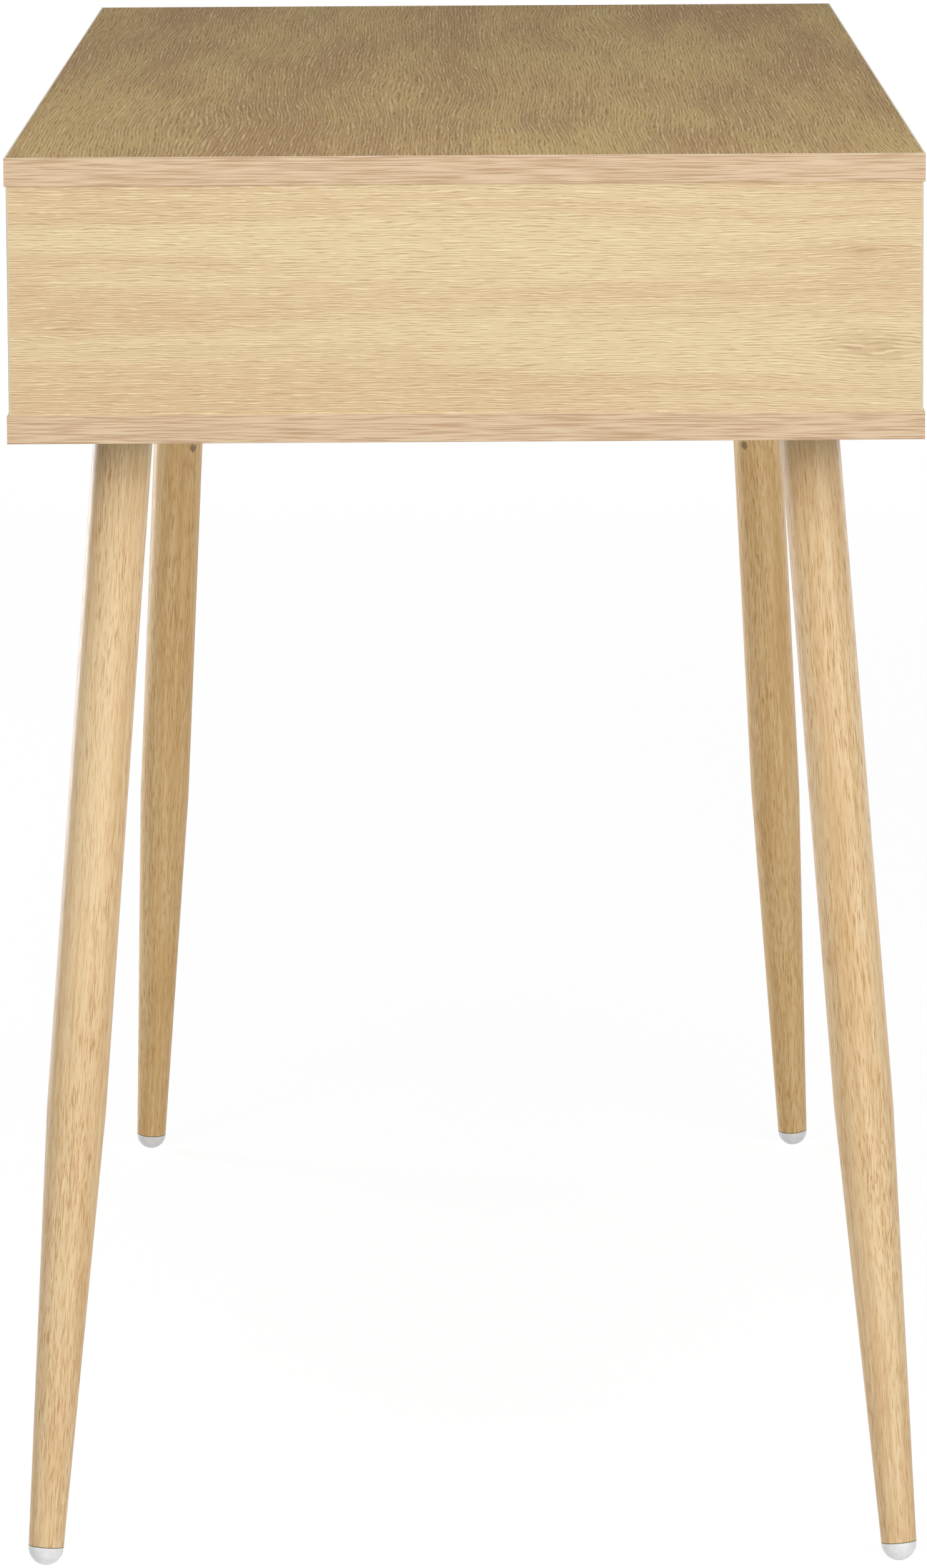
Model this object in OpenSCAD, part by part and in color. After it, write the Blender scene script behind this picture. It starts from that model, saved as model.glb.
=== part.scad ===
// Writing desk: a shallow drawer case on four splayed, tapered tube legs.
// Millimetres. X runs along the desk, -Y is the drawer side, +Z is up, the floor is Z = 0.

/* [Desk] */
// Length of the desk top
desk_l = 1200; // [1000:10:1600]
// Depth of the desk top
desk_d = 480; // [440:5:650]
// Height of the desk top above the floor
desk_h = 760; // [700:5:800]

/* [Case boards] */
// Thickness of every case board
board_t = 15; // [14:0.5:19]
// Height of the side panels between the two long boards
panel_h = 120; // [116:1:180]
// How far the side panels stand back from the edges of the long boards
panel_inset = 1; // [0.5:0.5:4]
// Thickness of the edge band on the boards
band_t = 1; // [0.8:0.1:2]
// Radius on the outer arrises of an edge band
band_r = 0.5; // [0.3:0.1:0.7]

/* [Legs] */
// Diameter of the leg tube above its taper
leg_d = 31.8; // [28:0.1:36]
// Diameter of the leg tube at its lower end
leg_tip_d = 19; // [15:0.5:24]
// Wall of the leg tube
leg_wall = 1.5; // [1:0.1:2]
// Length of the tapered stretch of a leg
leg_taper_l = 235; // [150:5:320]
// Centre of a leg's top, in from the end of the desk
leg_top_x = 98; // [75:1:150]
// Centre of a leg's top, in from the front or back of the desk
leg_top_y = 57; // [46:1:90]
// Point where a leg's axis meets the floor, in from the end of the desk
foot_x = 32; // [15:1:90]
// The same for the right-hand pair, in from the front or back
foot_y_right = 10; // [10:1:50]
// The same for the left-hand pair, in from the front or back
foot_y_left = 25; // [10:1:50]
// Length of the foot below the tube
foot_show = 10; // [10:0.5:16]
// Length of the foot's stem inside the tube
foot_stem_l = 20; // [10:1:40]
// Clearance round the foot's stem
foot_fit = 0.1; // [0.05:0.05:0.2]

/* [Leg plates] */
// Side of the square leg plate
plate_w = 80; // [72:1:88]
// Thickness of the leg plate
plate_t = 3; // [2:0.5:4]
// Corner radius of the leg plate
plate_r = 8; // [4:1:12]
// Distance between the screw holes of a leg plate
plate_pitch = 60; // [54:1:66]

/* [Drawers] */
// Gap round a drawer front
front_gap = 2; // [1:0.5:4]
// Thickness of a drawer front
front_t = 15; // [14:0.5:18]
// Thickness of the drawer sides and back
box_t = 12; // [11:0.5:15]
// Height of the drawer sides
side_h = 84; // [76:1:88]
// Room behind a closed drawer
box_gap = 28; // [20:1:60]
// Thickness of the drawer bottom
base_t = 3; // [2.5:0.5:5]
// Height of the drawer bottom above the lower edge of the sides
base_up = 10; // [6:1:16]
// Depth of the groove that holds the drawer bottom
groove = 6; // [4:0.5:7]
// Clearance of the drawer bottom in its groove
base_fit = 0.15; // [0.1:0.05:0.3]
// Width of the finger cut-out at the top of a drawer front
scoop_w = 100; // [70:2:160]
// Depth and end radius of the finger cut-out
scoop_r = 24; // [16:1:30]
// Travel of a drawer
travel = 300; // [200:5:320]

/* [Roller runners] */
// Space between a drawer side and the board beside it
runner_gap = 12.5; // [12.5:0.1:13.5]
// Thickness of the runners' steel
sheet_t = 1.2; // [1:0.1:1.4]
// How much shorter than a drawer side the case half of a runner is
runner_short = 20; // [10:1:40]
// Setback of the case half's front end from the drawer front
runner_set = 2; // [1:0.5:5]
// Setback of the drawer half's front end from the drawer front
drawer_half_set = 0.5; // [0.3:0.1:2]
// Height of a runner above the bottom board
runner_up = 8; // [4:1:12]
// Width of the flanges of the case half
flange_w = 9.2; // [8.8:0.1:9.6]
// Height of the flange that carries the drawer side, above the runner's lower face
seat_up = 5.2; // [4:0.1:7]
// Diameter of the rollers fixed to the case
front_roller_d = 15; // [13:0.5:16]
// Diameter of the rollers fixed to the drawer
rear_roller_d = 18; // [17:0.5:20]
// Width of a roller
roller_w = 6; // [5:0.1:6.1]
// Wall of a roller's hub
roller_hub = 1; // [0.8:0.1:1.4]
// Thickness of a roller's tread
roller_tread = 1.2; // [1:0.1:1.6]
// Bevel on a roller's edges
roller_bevel = 0.4; // [0.2:0.1:0.6]
// Diameter of a roller's rivet
rivet_d = 5; // [4:0.1:6]
// Thickness of a rivet's head
rivet_head_t = 0.9; // [0.6:0.1:1]
// Radial running clearance of a roller on its rivet
rivet_fit = 0.06; // [0.03:0.01:0.1]
// Gap between a roller and what it rolls on, and at its ends
roll_gap = 0.3; // [0.2:0.05:0.4]
// Centre of the front roller, back from the front end of the case half
front_roller_y = 14; // [10:1:20]
// Gap between the rear roller and the end of the track in front of it
track_gap = 3; // [2:0.5:5]
// Play of the rear roller at the runner's rear stop and under its top flange
rear_play = 0.6; // [0.4:0.1:1]
// Height of the pressed bump that stops the drawer
bump_h = 1.2; // [0.8:0.1:1.4]
// Distance of the first and last runner screw from the ends of a runner
runner_screw_end = 60; // [45:1:80]
// How much further back the screws of the right-hand bay's runners sit
runner_stagger = 16; // [12:1:24]

/* [Fixings] */
// Diameter of the small countersunk screws
cs_d = 3.5; // [3:0.1:4]
// Diameter of their heads
cs_head_d = 6.8; // [6:0.1:7.5]
// Depth of the cross recess in their heads
cs_recess = 1; // [0.6:0.1:1.2]
// Length of the small countersunk screws
cs_l = 12; // [8:0.5:12]
// Length of the screws in the corners of a drawer
corner_screw_l = 30; // [22:1:40]
// Diameter of the leg plate screws
leg_screw_d = 4.5; // [4:0.1:5]
// Head diameter of the leg plate screws
leg_screw_head_d = 9; // [8:0.1:10]
// Head height of the leg plate screws
leg_screw_head_t = 2.8; // [2:0.1:3.5]
// Length of the leg plate screws under the head
leg_screw_l = 15; // [12:0.5:15]
// Diameter of the case screws in the bottom board
case_screw_d = 7; // [6:0.5:7]
// Diameter of their threaded end
case_thread_d = 5; // [4:0.5:5.5]
// Head diameter of the case screws
case_head_d = 10; // [9:0.5:11]
// Head height of the case screws
case_head_t = 3; // [2:0.5:4]
// Size across the corners of the hexagon socket in their heads
case_hex_d = 4; // [3:0.5:5]
// Length of the case screws
case_screw_l = 50; // [40:1:55]
// Diameter of the cam locks in the case
cam_d = 15; // [14:0.5:16]
// Depth of the cam locks in the case
cam_t = 12; // [11:0.5:12.5]
// Distance of a cam's centre from the board's edge
cam_reach = 24; // [20:1:34]
// Diameter of the cam locks in the drawer sides
small_cam_d = 12; // [10:0.5:13]
// Depth of the cam locks in the drawer sides
small_cam_t = 9.5; // [8:0.5:10]
// Wall between the recess in a cam lock's face and the bolt
cam_wall = 1; // [0.6:0.1:1.4]
// Diameter of a cam bolt's thread
cam_bolt_d = 5; // [4:0.1:6]
// Length of a cam bolt's thread
cam_bolt_thread = 10; // [8:0.5:11]
// Diameter of a cam bolt's neck
cam_neck_d = 4; // [3:0.1:4.5]
// Diameter of a cam bolt's head
cam_bolt_head_d = 6.6; // [6:0.1:7]
// Diameter of a dowel
dowel_d = 8; // [6:0.5:8.5]
// Length of a dowel
dowel_l = 30; // [25:1:40]
// Depth of a dowel in the top board
dowel_in_top = 10; // [8:0.5:11]
// Distance of a dowel from the cam bolt beside it
dowel_step = 32; // [20:1:50]
// Distance of the cam locks from the ends of a panel
cam_end = 60; // [45:1:90]
// Distance of the case screws from the ends of a panel
case_screw_end = 36; // [28:1:44]
// Distance of the drawer's corner fixings from the top of a side and from the drawer bottom
corner_in = 18; // [14:1:20]
// Clearance of a fixing in its hole
fix_fit = 0.1; // [0.05:0.05:0.2]

/* [Hidden] */
$fn = 48;
// Overshoot of a cut past the face it starts from
cut = 1;
half_l = desk_l / 2;
half_d = desk_d / 2;

// Levels of the case
top_under = desk_h - board_t;
case_floor = top_under - panel_h;
case_under = case_floor - board_t;

// Faces of the case
panel_in = half_l - panel_inset - board_t;
panel_mid = panel_in + board_t / 2;
case_front = -half_d + panel_inset;
case_back = half_d - panel_inset;
back_in = case_back - board_t;
back_mid = case_back - board_t / 2;

// Drawers: a side of -1 is the left-hand bay, 1 the right-hand one
bay_w = panel_in - board_t / 2;
function bay_mid(side) = side * (board_t / 2 + bay_w / 2);
front_w = bay_w - 2 * front_gap;
front_low = case_floor + front_gap;
front_high = top_under - front_gap;
box_front = case_front + front_t;
box_back = back_in - box_gap;
box_l = box_back - box_front;
box_w = bay_w - 2 * runner_gap;
inner_w = box_w - 2 * box_t;
runner_z = case_floor + runner_up;
box_low = runner_z + seat_up;
box_high = box_low + side_h;
base_z = box_low + base_up;
base_w = inner_w + 2 * groove - 4 * base_fit;
// Screws up through the drawer bottom into the back, at these distances from the middle
base_screw_xs = [-inner_w / 3, 0, inner_w / 3];

// Runners: lengths run back from the front end of the case half
runner_front = box_front + runner_set;
runner_l = box_l - runner_short;
front_axis_z = sheet_t + roll_gap + front_roller_d / 2;
track_z = front_axis_z + front_roller_d / 2 + roll_gap;
rear_axis_z = sheet_t + roll_gap + rear_roller_d / 2;
runner_h = rear_axis_z + rear_roller_d / 2 + rear_play + sheet_t;
rear_axis_y = runner_l - sheet_t - rear_play - rear_roller_d / 2;
drawer_half_front = drawer_half_set - runner_set;
drawer_half_back = rear_axis_y + rivet_d;
track_back = rear_axis_y - rear_roller_d / 2 - track_gap;
bump_reach = sqrt(pow(rear_roller_d / 2 + bump_h, 2) - pow(rear_roller_d / 2 + roll_gap, 2));
bump_y = rear_axis_y - travel - bump_reach - roll_gap;
front_roller_x = 2 * sheet_t;
rear_roller_x = flange_w - roller_w - roll_gap;
runner_screw_ys = [runner_screw_end, runner_l / 2, runner_l - runner_screw_end - runner_stagger];
// The screws sit at the middle of each half's web
case_half_screw_z = runner_h / 2;
drawer_half_screw_z = (seat_up + track_z) / 2;

// Cam joints of the uprights with the top board: rows of [x, y, direction that the cam faces]
cam_ys = [case_front + cam_end, back_in - cam_end];
cam_xs = [-panel_in + cam_end, -cam_end, cam_end, panel_in - cam_end];
left_cams = [for (y = cam_ys) [-panel_mid, y, 0]];
right_cams = [for (y = cam_ys) [panel_mid, y, 180]];
middle_cams = [for (y = cam_ys) [0, y, 0]];
back_cams = [for (x = cam_xs) [x, back_mid, -90]];
all_cams = concat(left_cams, right_cams, middle_cams, back_cams);
// The point above which a cam joint's dowel stands
function dowel_at(c) = c[2] == -90 ? [c[0] + dowel_step, c[1]] : [c[0], c[1] + dowel_step];
dowel_low = top_under + dowel_in_top - dowel_l;

// Screws that hold the uprights down to the bottom board: rows of [x, y]
case_screw_ys = [case_front + case_screw_end, back_in - case_screw_end];
case_screws_at = concat(
    [for (x = [-panel_mid, 0, panel_mid], y = case_screw_ys) [x, y]],
    [for (x = cam_xs) [x, back_mid]]
);

// Corners of a drawer: heights of the cams at the front and of the screws at the back
corner_zs = [base_z + base_t + corner_in, box_high - corner_in];

// Legs
leg_r = leg_d / 2;
tip_r = leg_tip_d / 2;
plate_under = case_under - plate_t;
function leg_top(sx, sy) = [sx * (half_l - leg_top_x), sy * (half_d - leg_top_y), plate_under];
function foot_y(sx) = sx > 0 ? foot_y_right : foot_y_left;
function leg_foot(sx, sy) = [sx * (half_l - foot_x), sy * (half_d - foot_y(sx)), 0];
leg_corners = [for (sx = [-1, 1], sy = [-1, 1]) [sx, sy]];

oak = "BurlyWood";
oak_light = "Wheat";
steel = "Silver";
zinc = "LightGrey";
cream = "Ivory";
raw = "Tan";

// ---- Shared shapes ----

// A box given by its lowest and highest corners
module block(low, high) {
    translate(low) cube(high - low);
}

// A round hole or pin along Z, from point p up by h
module upright(p, d, h) {
    translate(p) cylinder(d = d, h = h);
}

// Places its children with +X turned to the face's direction, mirrored where that is -X
module facing(side) {
    mirror([side < 0 ? 1 : 0, 0, 0]) children();
}

// A countersunk screw whose head lies flush at the origin and whose point is at -X
module cs_screw(l) {
    sink = (cs_head_d - cs_d) / 2;
    rotate([0, -90, 0]) difference() {
        union() {
            cylinder(d1 = cs_head_d, d2 = cs_d, h = sink);
            cylinder(d = cs_d, h = l - cs_d);
            translate([0, 0, l - cs_d]) cylinder(d1 = cs_d, d2 = cs_d / 4, h = cs_d);
        }
        cross_recess(cs_d * 1.2, cs_recess);
    }
}

// The hole that takes such a screw, with its countersink
module cs_hole(l) {
    sink = (cs_head_d - cs_d) / 2;
    rotate([0, -90, 0]) {
        cylinder(d1 = cs_head_d + 2 * fix_fit, d2 = cs_d + 2 * fix_fit, h = sink);
        translate([0, 0, -cut]) cylinder(d = cs_head_d + 2 * fix_fit, h = cut);
        cylinder(d = cs_d + 2 * fix_fit, h = l + fix_fit);
    }
}

// A cross recess of width w, cut down along +Z from the origin
module cross_recess(w, deep) {
    for (a = [0, 90])
        rotate(a) translate([-w / 2, -w / 10, -cut]) cube([w, w / 5, deep + cut]);
}

// Section of an edge band in (outwards, across the board), with its outer arrises rounded
module band_section() {
    difference() {
        square([band_t, board_t]);
        for (m = [0, 1])
            translate([0, m * board_t]) mirror([0, m]) difference() {
                translate([band_t - band_r, -cut]) square([band_r + cut, band_r + cut]);
                translate([band_t - band_r, band_r]) circle(band_r);
            }
    }
}

// A level band of length l centred on p, a point on the board's lower arris, facing angle a
module level_band(p, a, l) {
    translate(p) rotate(a - 90) translate([-l / 2, 0, 0])
        rotate([90, 0, 90]) linear_extrude(l) band_section();
}

// An upright band on the front or back edge, dir -1 or 1, of a board whose middle is at x
module upright_band(x, y, dir) {
    translate([x + dir * board_t / 2, y, case_floor]) rotate(dir * 90)
        linear_extrude(panel_h) band_section();
}

// The bands round a long board whose lower face is at z
module long_board_bands(z) {
    color(oak_light) for (s = [-1, 1]) {
        level_band([s * (half_l - band_t), 0, z], s > 0 ? 0 : 180, desk_d);
        level_band([0, s * (half_d - band_t), z], s * 90, desk_l - 2 * band_t);
    }
}

// ---- Case ----

// The core of a long board, inside its edge bands
module long_board_core(z) {
    translate([band_t - half_l, band_t - half_d, z])
        cube([desk_l - 2 * band_t, desk_d - 2 * band_t, board_t]);
}

module top_board() {
    color(oak) difference() {
        long_board_core(top_under);
        for (c = all_cams) {
            upright([c[0], c[1], top_under - cut], cam_bolt_d + 2 * fix_fit,
                cam_bolt_thread + fix_fit + cut);
            upright(concat(dowel_at(c), dowel_low), dowel_d + 2 * fix_fit, dowel_l + fix_fit);
        }
    }
}

module bottom_board() {
    color(oak) difference() {
        long_board_core(case_under);
        for (s = case_screws_at)
            case_screw_hole(s);
        for (c = leg_corners, s = plate_holes(c))
            upright([s[0], s[1], case_under - cut], leg_screw_d + 2 * fix_fit,
                leg_screw_l - plate_t + fix_fit + cut);
    }
}

// Stepped hole of a case screw, up through the bottom board and into the upright
module case_screw_hole(s) {
    p = [s[0], s[1], case_under];
    upright(p - [0, 0, cut], case_head_d + 2 * fix_fit, case_head_t + fix_fit + cut);
    upright(p, case_screw_d + 2 * fix_fit, board_t);
    upright(p, case_thread_d + 2 * fix_fit, case_screw_l + fix_fit);
}

// Holes of the cam joints in an upright
module cam_holes(cams) {
    for (c = cams) {
        upright([c[0], c[1], top_under - cam_reach - cam_bolt_head_d / 2],
            cam_bolt_head_d + 4 * fix_fit, cam_reach + cam_bolt_head_d / 2 + cut);
        translate([c[0], c[1], top_under - cam_reach]) rotate(c[2])
            translate([board_t / 2 - cam_t - fix_fit, 0, 0]) rotate([0, 90, 0])
                cylinder(d = cam_d + 2 * fix_fit, h = cam_t + cut);
        upright(concat(dowel_at(c), dowel_low - fix_fit), dowel_d + 2 * fix_fit, dowel_l);
    }
}

// Pilot holes of one case runner, in the board whose face is at x and looks along side
module runner_pilots(x, side, shift) {
    translate([x, runner_front, runner_z]) facing(side)
        for (y = runner_screw_ys)
            translate([sheet_t, y + shift, case_half_screw_z]) cs_hole(cs_l);
}

// An upright case board between its corners, with the joints' holes in it
module upright_board(low, high, cams) {
    difference() {
        block(low, high);
        cam_holes(cams);
        for (s = case_screws_at)
            if (s[0] > low[0] && s[0] < high[0] && s[1] > low[1] && s[1] < high[1])
                case_screw_hole(s);
    }
}

module left_side_panel() {
    color(oak) difference() {
        upright_board([-panel_in - board_t, case_front + band_t, case_floor],
            [-panel_in, case_back - band_t, top_under], left_cams);
        runner_pilots(-panel_in, 1, 0);
    }
}

module right_side_panel() {
    color(oak) difference() {
        upright_board([panel_in, case_front + band_t, case_floor],
            [panel_in + board_t, case_back - band_t, top_under], right_cams);
        runner_pilots(panel_in, -1, runner_stagger);
    }
}

module centre_divider() {
    color(oak) difference() {
        upright_board([-board_t / 2, case_front + band_t, case_floor],
            [board_t / 2, back_in, top_under], middle_cams);
        runner_pilots(-board_t / 2, -1, 0);
        runner_pilots(board_t / 2, 1, runner_stagger);
    }
}

module back_panel() {
    color(oak) upright_board([-panel_in, back_in, case_floor], [panel_in, case_back, top_under],
        back_cams);
}

module top_edge_bands() {
    long_board_bands(top_under);
}

module bottom_edge_bands() {
    long_board_bands(case_under);
}

module panel_edge_bands() {
    color(oak_light) {
        for (x = [-panel_mid, 0, panel_mid])
            upright_band(x, case_front + band_t, -1);
        for (x = [-panel_mid, panel_mid])
            upright_band(x, case_back - band_t, 1);
    }
}

// ---- Case fixings ----

// A cam lock of diameter d and depth t whose face looks along +X, at x = face, its bolt at x = 0
module cam_lock(d, t, face) {
    difference() {
        translate([face - t, 0, 0]) rotate([0, 90, 0]) cylinder(d = d, h = t);
        upright([0, 0, -cam_bolt_head_d / 2 - fix_fit], cam_bolt_head_d + 2 * fix_fit, d);
        translate([face, 0, 0]) rotate([0, -90, 0])
            cross_recess(d * 0.6, face - cam_bolt_head_d / 2 - cam_wall);
    }
}

// A cam bolt whose head is centred on the origin and whose thread starts at z = reach
module cam_bolt(reach) {
    cylinder(d = cam_bolt_head_d - 2 * fix_fit, h = cam_bolt_head_d / 2, center = true);
    cylinder(d = cam_neck_d, h = reach);
    upright([0, 0, reach], cam_bolt_d, cam_bolt_thread);
}

module cam_bolts() {
    color(zinc) for (c = all_cams)
        translate([c[0], c[1], top_under - cam_reach]) cam_bolt(cam_reach);
}

module cam_locks() {
    color(zinc) for (c = all_cams)
        translate([c[0], c[1], top_under - cam_reach]) rotate(c[2]) cam_lock(cam_d, cam_t, board_t / 2);
}

// A dowel with bevelled ends
module dowel() {
    bevel = dowel_d / 8;
    cylinder(d1 = dowel_d - 2 * bevel, d2 = dowel_d, h = bevel);
    upright([0, 0, bevel], dowel_d, dowel_l - 2 * bevel);
    translate([0, 0, dowel_l - bevel]) cylinder(d1 = dowel_d, d2 = dowel_d - 2 * bevel, h = bevel);
}

module dowels() {
    color(raw) for (c = all_cams)
        translate(concat(dowel_at(c), dowel_low)) dowel();
}

module case_screws() {
    color(zinc) for (s = case_screws_at)
        translate([s[0], s[1], case_under]) difference() {
            union() {
                cylinder(d = case_head_d, h = case_head_t);
                cylinder(d = case_screw_d, h = board_t);
                cylinder(d = case_thread_d, h = case_screw_l);
            }
            cylinder(d = case_hex_d, h = case_head_t * 0.8, $fn = 6);
        }
}

// ---- Legs ----

// Angle between a leg's axis and the upright
function lean(v) = acos(v[2] / norm(v));

// Places its children with +Z up the axis of the leg at corner c and the floor point at the origin
module along_leg(c) {
    v = leg_top(c[0], c[1]) - leg_foot(c[0], c[1]);
    turn = atan2(v[1], v[0]);
    translate(leg_foot(c[0], c[1])) rotate([0, lean(v), turn]) rotate(-turn) children();
}

// Distance up the axis, from the floor point to the centre of the foot's ball
function ball_up(c) = tip_r / cos(lean(leg_top(c[0], c[1]) - leg_foot(c[0], c[1])));
function tube_low(c) = ball_up(c) - tip_r + foot_show;

// A tapered tube, cut off level where it meets its plate
module leg(c) {
    low = tube_low(c);
    high = norm(leg_top(c[0], c[1]) - leg_foot(c[0], c[1])) + leg_r;
    color(oak) difference() {
        along_leg(c) rotate_extrude() polygon([
            [tip_r - leg_wall, low],
            [tip_r, low],
            [leg_r, low + leg_taper_l],
            [leg_r, high],
            [leg_r - leg_wall, high],
            [leg_r - leg_wall, low + leg_taper_l]
        ]);
        translate([-desk_l, -desk_d, plate_under]) cube([2 * desk_l, 2 * desk_d, 4 * leg_r]);
    }
}

module front_left_leg() {
    leg([-1, -1]);
}

module front_right_leg() {
    leg([1, -1]);
}

module rear_left_leg() {
    leg([-1, 1]);
}

module rear_right_leg() {
    leg([1, 1]);
}

// Screw holes of the plate at corner c: rows of [x, y]
function plate_holes(c) = [
    for (i = [-1, 1], j = [-1, 1])
        [leg_top(c[0], c[1])[0] + i * plate_pitch / 2, leg_top(c[0], c[1])[1] + j * plate_pitch / 2]
];

// A square steel plate with rounded corners, welded across the top of the tube
module leg_plate(c) {
    flat = plate_w - 2 * plate_r;
    color(steel) difference() {
        translate(leg_top(c[0], c[1])) linear_extrude(plate_t) {
            square([plate_w, flat], center = true);
            square([flat, plate_w], center = true);
            for (i = [-1, 1], j = [-1, 1])
                translate([i, j] * flat / 2) circle(plate_r);
        }
        for (s = plate_holes(c))
            upright([s[0], s[1], plate_under - cut], leg_screw_d + 2 * fix_fit, plate_t + 2 * cut);
    }
}

module front_left_leg_plate() {
    leg_plate([-1, -1]);
}

module front_right_leg_plate() {
    leg_plate([1, -1]);
}

module rear_left_leg_plate() {
    leg_plate([-1, 1]);
}

module rear_right_leg_plate() {
    leg_plate([1, 1]);
}

// A pan-headed screw under each hole, its head against the plate
module leg_plate_screws() {
    color(zinc) for (c = leg_corners, s = plate_holes(c))
        translate([s[0], s[1], plate_under]) difference() {
            union() {
                cylinder(d = leg_screw_d, h = leg_screw_l);
                translate([0, 0, -leg_screw_head_t / 2])
                    cylinder(d = leg_screw_head_d, h = leg_screw_head_t / 2);
                translate([0, 0, -leg_screw_head_t])
                    cylinder(d1 = leg_screw_head_d * 0.7, d2 = leg_screw_head_d, h = leg_screw_head_t / 2);
            }
            translate([0, 0, -leg_screw_head_t]) cross_recess(leg_screw_d, leg_screw_head_t * 0.7);
        }
}

// A moulded foot: a ball end that stands on the floor, with a stem up inside the tube
module foot(c) {
    color("WhiteSmoke") along_leg(c) translate([0, 0, ball_up(c)]) rotate_extrude() {
        intersection() {
            circle(tip_r);
            translate([0, -tip_r]) square([tip_r, tip_r]);
        }
        square([tip_r, foot_show - tip_r]);
        square([tip_r - leg_wall - foot_fit, foot_show - tip_r + foot_stem_l]);
    }
}

module front_left_foot() {
    foot([-1, -1]);
}

module front_right_foot() {
    foot([1, -1]);
}

module rear_left_foot() {
    foot([-1, 1]);
}

module rear_right_foot() {
    foot([1, 1]);
}

// ---- Roller runners ----

// The outside of a right-angled bend in sheet, round the inner corner at p
module bend(p, turn) {
    translate(p) rotate(turn) intersection() {
        circle(sheet_t);
        square(sheet_t);
    }
}

// Extrudes a section drawn in (out from the board, up) along +Y, from y0 to y1
module along_runner(y0, y1) {
    translate([0, y1, 0]) rotate([90, 0, 0]) linear_extrude(y1 - y0) children();
}

// Channel section of the case half
module case_half_section() {
    translate([0, sheet_t]) square([sheet_t, runner_h - 2 * sheet_t]);
    translate([sheet_t, 0]) square([flange_w - sheet_t, sheet_t]);
    translate([sheet_t, runner_h - sheet_t]) square([flange_w - sheet_t, sheet_t]);
    bend([sheet_t, sheet_t], 180);
    bend([sheet_t, runner_h - sheet_t], 90);
}

// The half of a runner that is screwed to the case: its board's face is at x = 0
module case_half(shift) {
    color(cream) difference() {
        union() {
            along_runner(0, runner_l) case_half_section();
            block([sheet_t / 2, runner_l - sheet_t, sheet_t / 2],
                [flange_w, runner_l, runner_h - sheet_t / 2]);
            intersection() {
                translate([sheet_t / 2, bump_y, sheet_t]) rotate([0, 90, 0])
                    cylinder(r = bump_h, h = flange_w - sheet_t / 2);
                block([0, 0, sheet_t / 2], [flange_w, runner_l, runner_h]);
            }
        }
        for (y = runner_screw_ys)
            translate([sheet_t, y + shift, case_half_screw_z]) cs_hole(cs_l);
        translate([-cut, front_roller_y, front_axis_z]) rotate([0, 90, 0])
            cylinder(d = rivet_d + fix_fit, h = sheet_t + 2 * cut);
    }
}

// The half that carries the drawer side: the side's face is at x = runner_gap
module drawer_half(shift) {
    web = runner_gap - sheet_t;
    color(cream) difference() {
        union() {
            along_runner(drawer_half_front, drawer_half_back) {
                translate([web, seat_up]) square([sheet_t, track_z - seat_up]);
                translate([runner_gap, seat_up - sheet_t]) square([box_t, sheet_t]);
                bend([runner_gap, seat_up], 180);
            }
            along_runner(drawer_half_front, track_back) {
                translate([front_roller_x, track_z]) square([web - front_roller_x, sheet_t]);
                bend([web, track_z], 0);
            }
        }
        for (y = runner_screw_ys)
            translate([web, y + shift, drawer_half_screw_z]) mirror([1, 0, 0]) cs_hole(cs_l);
        translate([web - cut, rear_axis_y, rear_axis_z]) rotate([0, 90, 0])
            cylinder(d = rivet_d + fix_fit, h = sheet_t + 2 * cut);
    }
}

// A nylon roller of diameter d about the X axis, from x = 0, with a recess in each side
module roller(d) {
    bore = rivet_d / 2 + rivet_fit;
    hub = bore + roller_hub;
    rim = d / 2 - roller_tread;
    deep = roller_w / 5;
    color("GhostWhite") rotate([90, 0, 90]) rotate_extrude() polygon([
        [bore, 0],
        [hub, 0],
        [hub, deep],
        [rim, deep],
        [rim, 0],
        [d / 2 - roller_bevel, 0],
        [d / 2, roller_bevel],
        [d / 2, roller_w - roller_bevel],
        [d / 2 - roller_bevel, roller_w],
        [rim, roller_w],
        [rim, roller_w - deep],
        [hub, roller_w - deep],
        [hub, roller_w],
        [bore, roller_w]
    ]);
}

// A rivet along X: its flush end at x = 0, a shoulder up to the roller and a head beyond it
module rivet(sheet, roller_x) {
    shoulder = rivet_d * 1.5;
    head_x = roller_x + roller_w + roll_gap;
    rotate([0, 90, 0]) {
        cylinder(d = rivet_d, h = head_x + rivet_head_t);
        upright([0, 0, sheet], shoulder, roller_x - roll_gap - sheet);
        upright([0, 0, head_x], shoulder, rivet_head_t);
    }
}

// Places its children at the runner on the board face at x, which looks along side
module at_runner(x, side) {
    translate([x, runner_front, runner_z]) facing(side) children();
}

// Board faces that carry the runners, with the direction they look: left and right of each bay
function bay_face(bay, hand) = bay_mid(bay) + hand * bay_w / 2;
function bay_shift(bay) = bay > 0 ? runner_stagger : 0;

module case_runner(bay, hand) {
    at_runner(bay_face(bay, hand), -hand) case_half(bay_shift(bay));
}

module left_bay_left_runner() {
    case_runner(-1, -1);
}

module left_bay_right_runner() {
    case_runner(-1, 1);
}

module right_bay_left_runner() {
    case_runner(1, -1);
}

module right_bay_right_runner() {
    case_runner(1, 1);
}

module case_roller_rivets() {
    color(zinc) for (bay = [-1, 1], hand = [-1, 1])
        at_runner(bay_face(bay, hand), -hand) translate([0, front_roller_y, front_axis_z])
            rivet(sheet_t, front_roller_x);
}

module case_runner_screws() {
    color(zinc) for (bay = [-1, 1], hand = [-1, 1], y = runner_screw_ys)
        at_runner(bay_face(bay, hand), -hand)
            translate([sheet_t, y + bay_shift(bay), case_half_screw_z]) cs_screw(cs_l);
}

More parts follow.
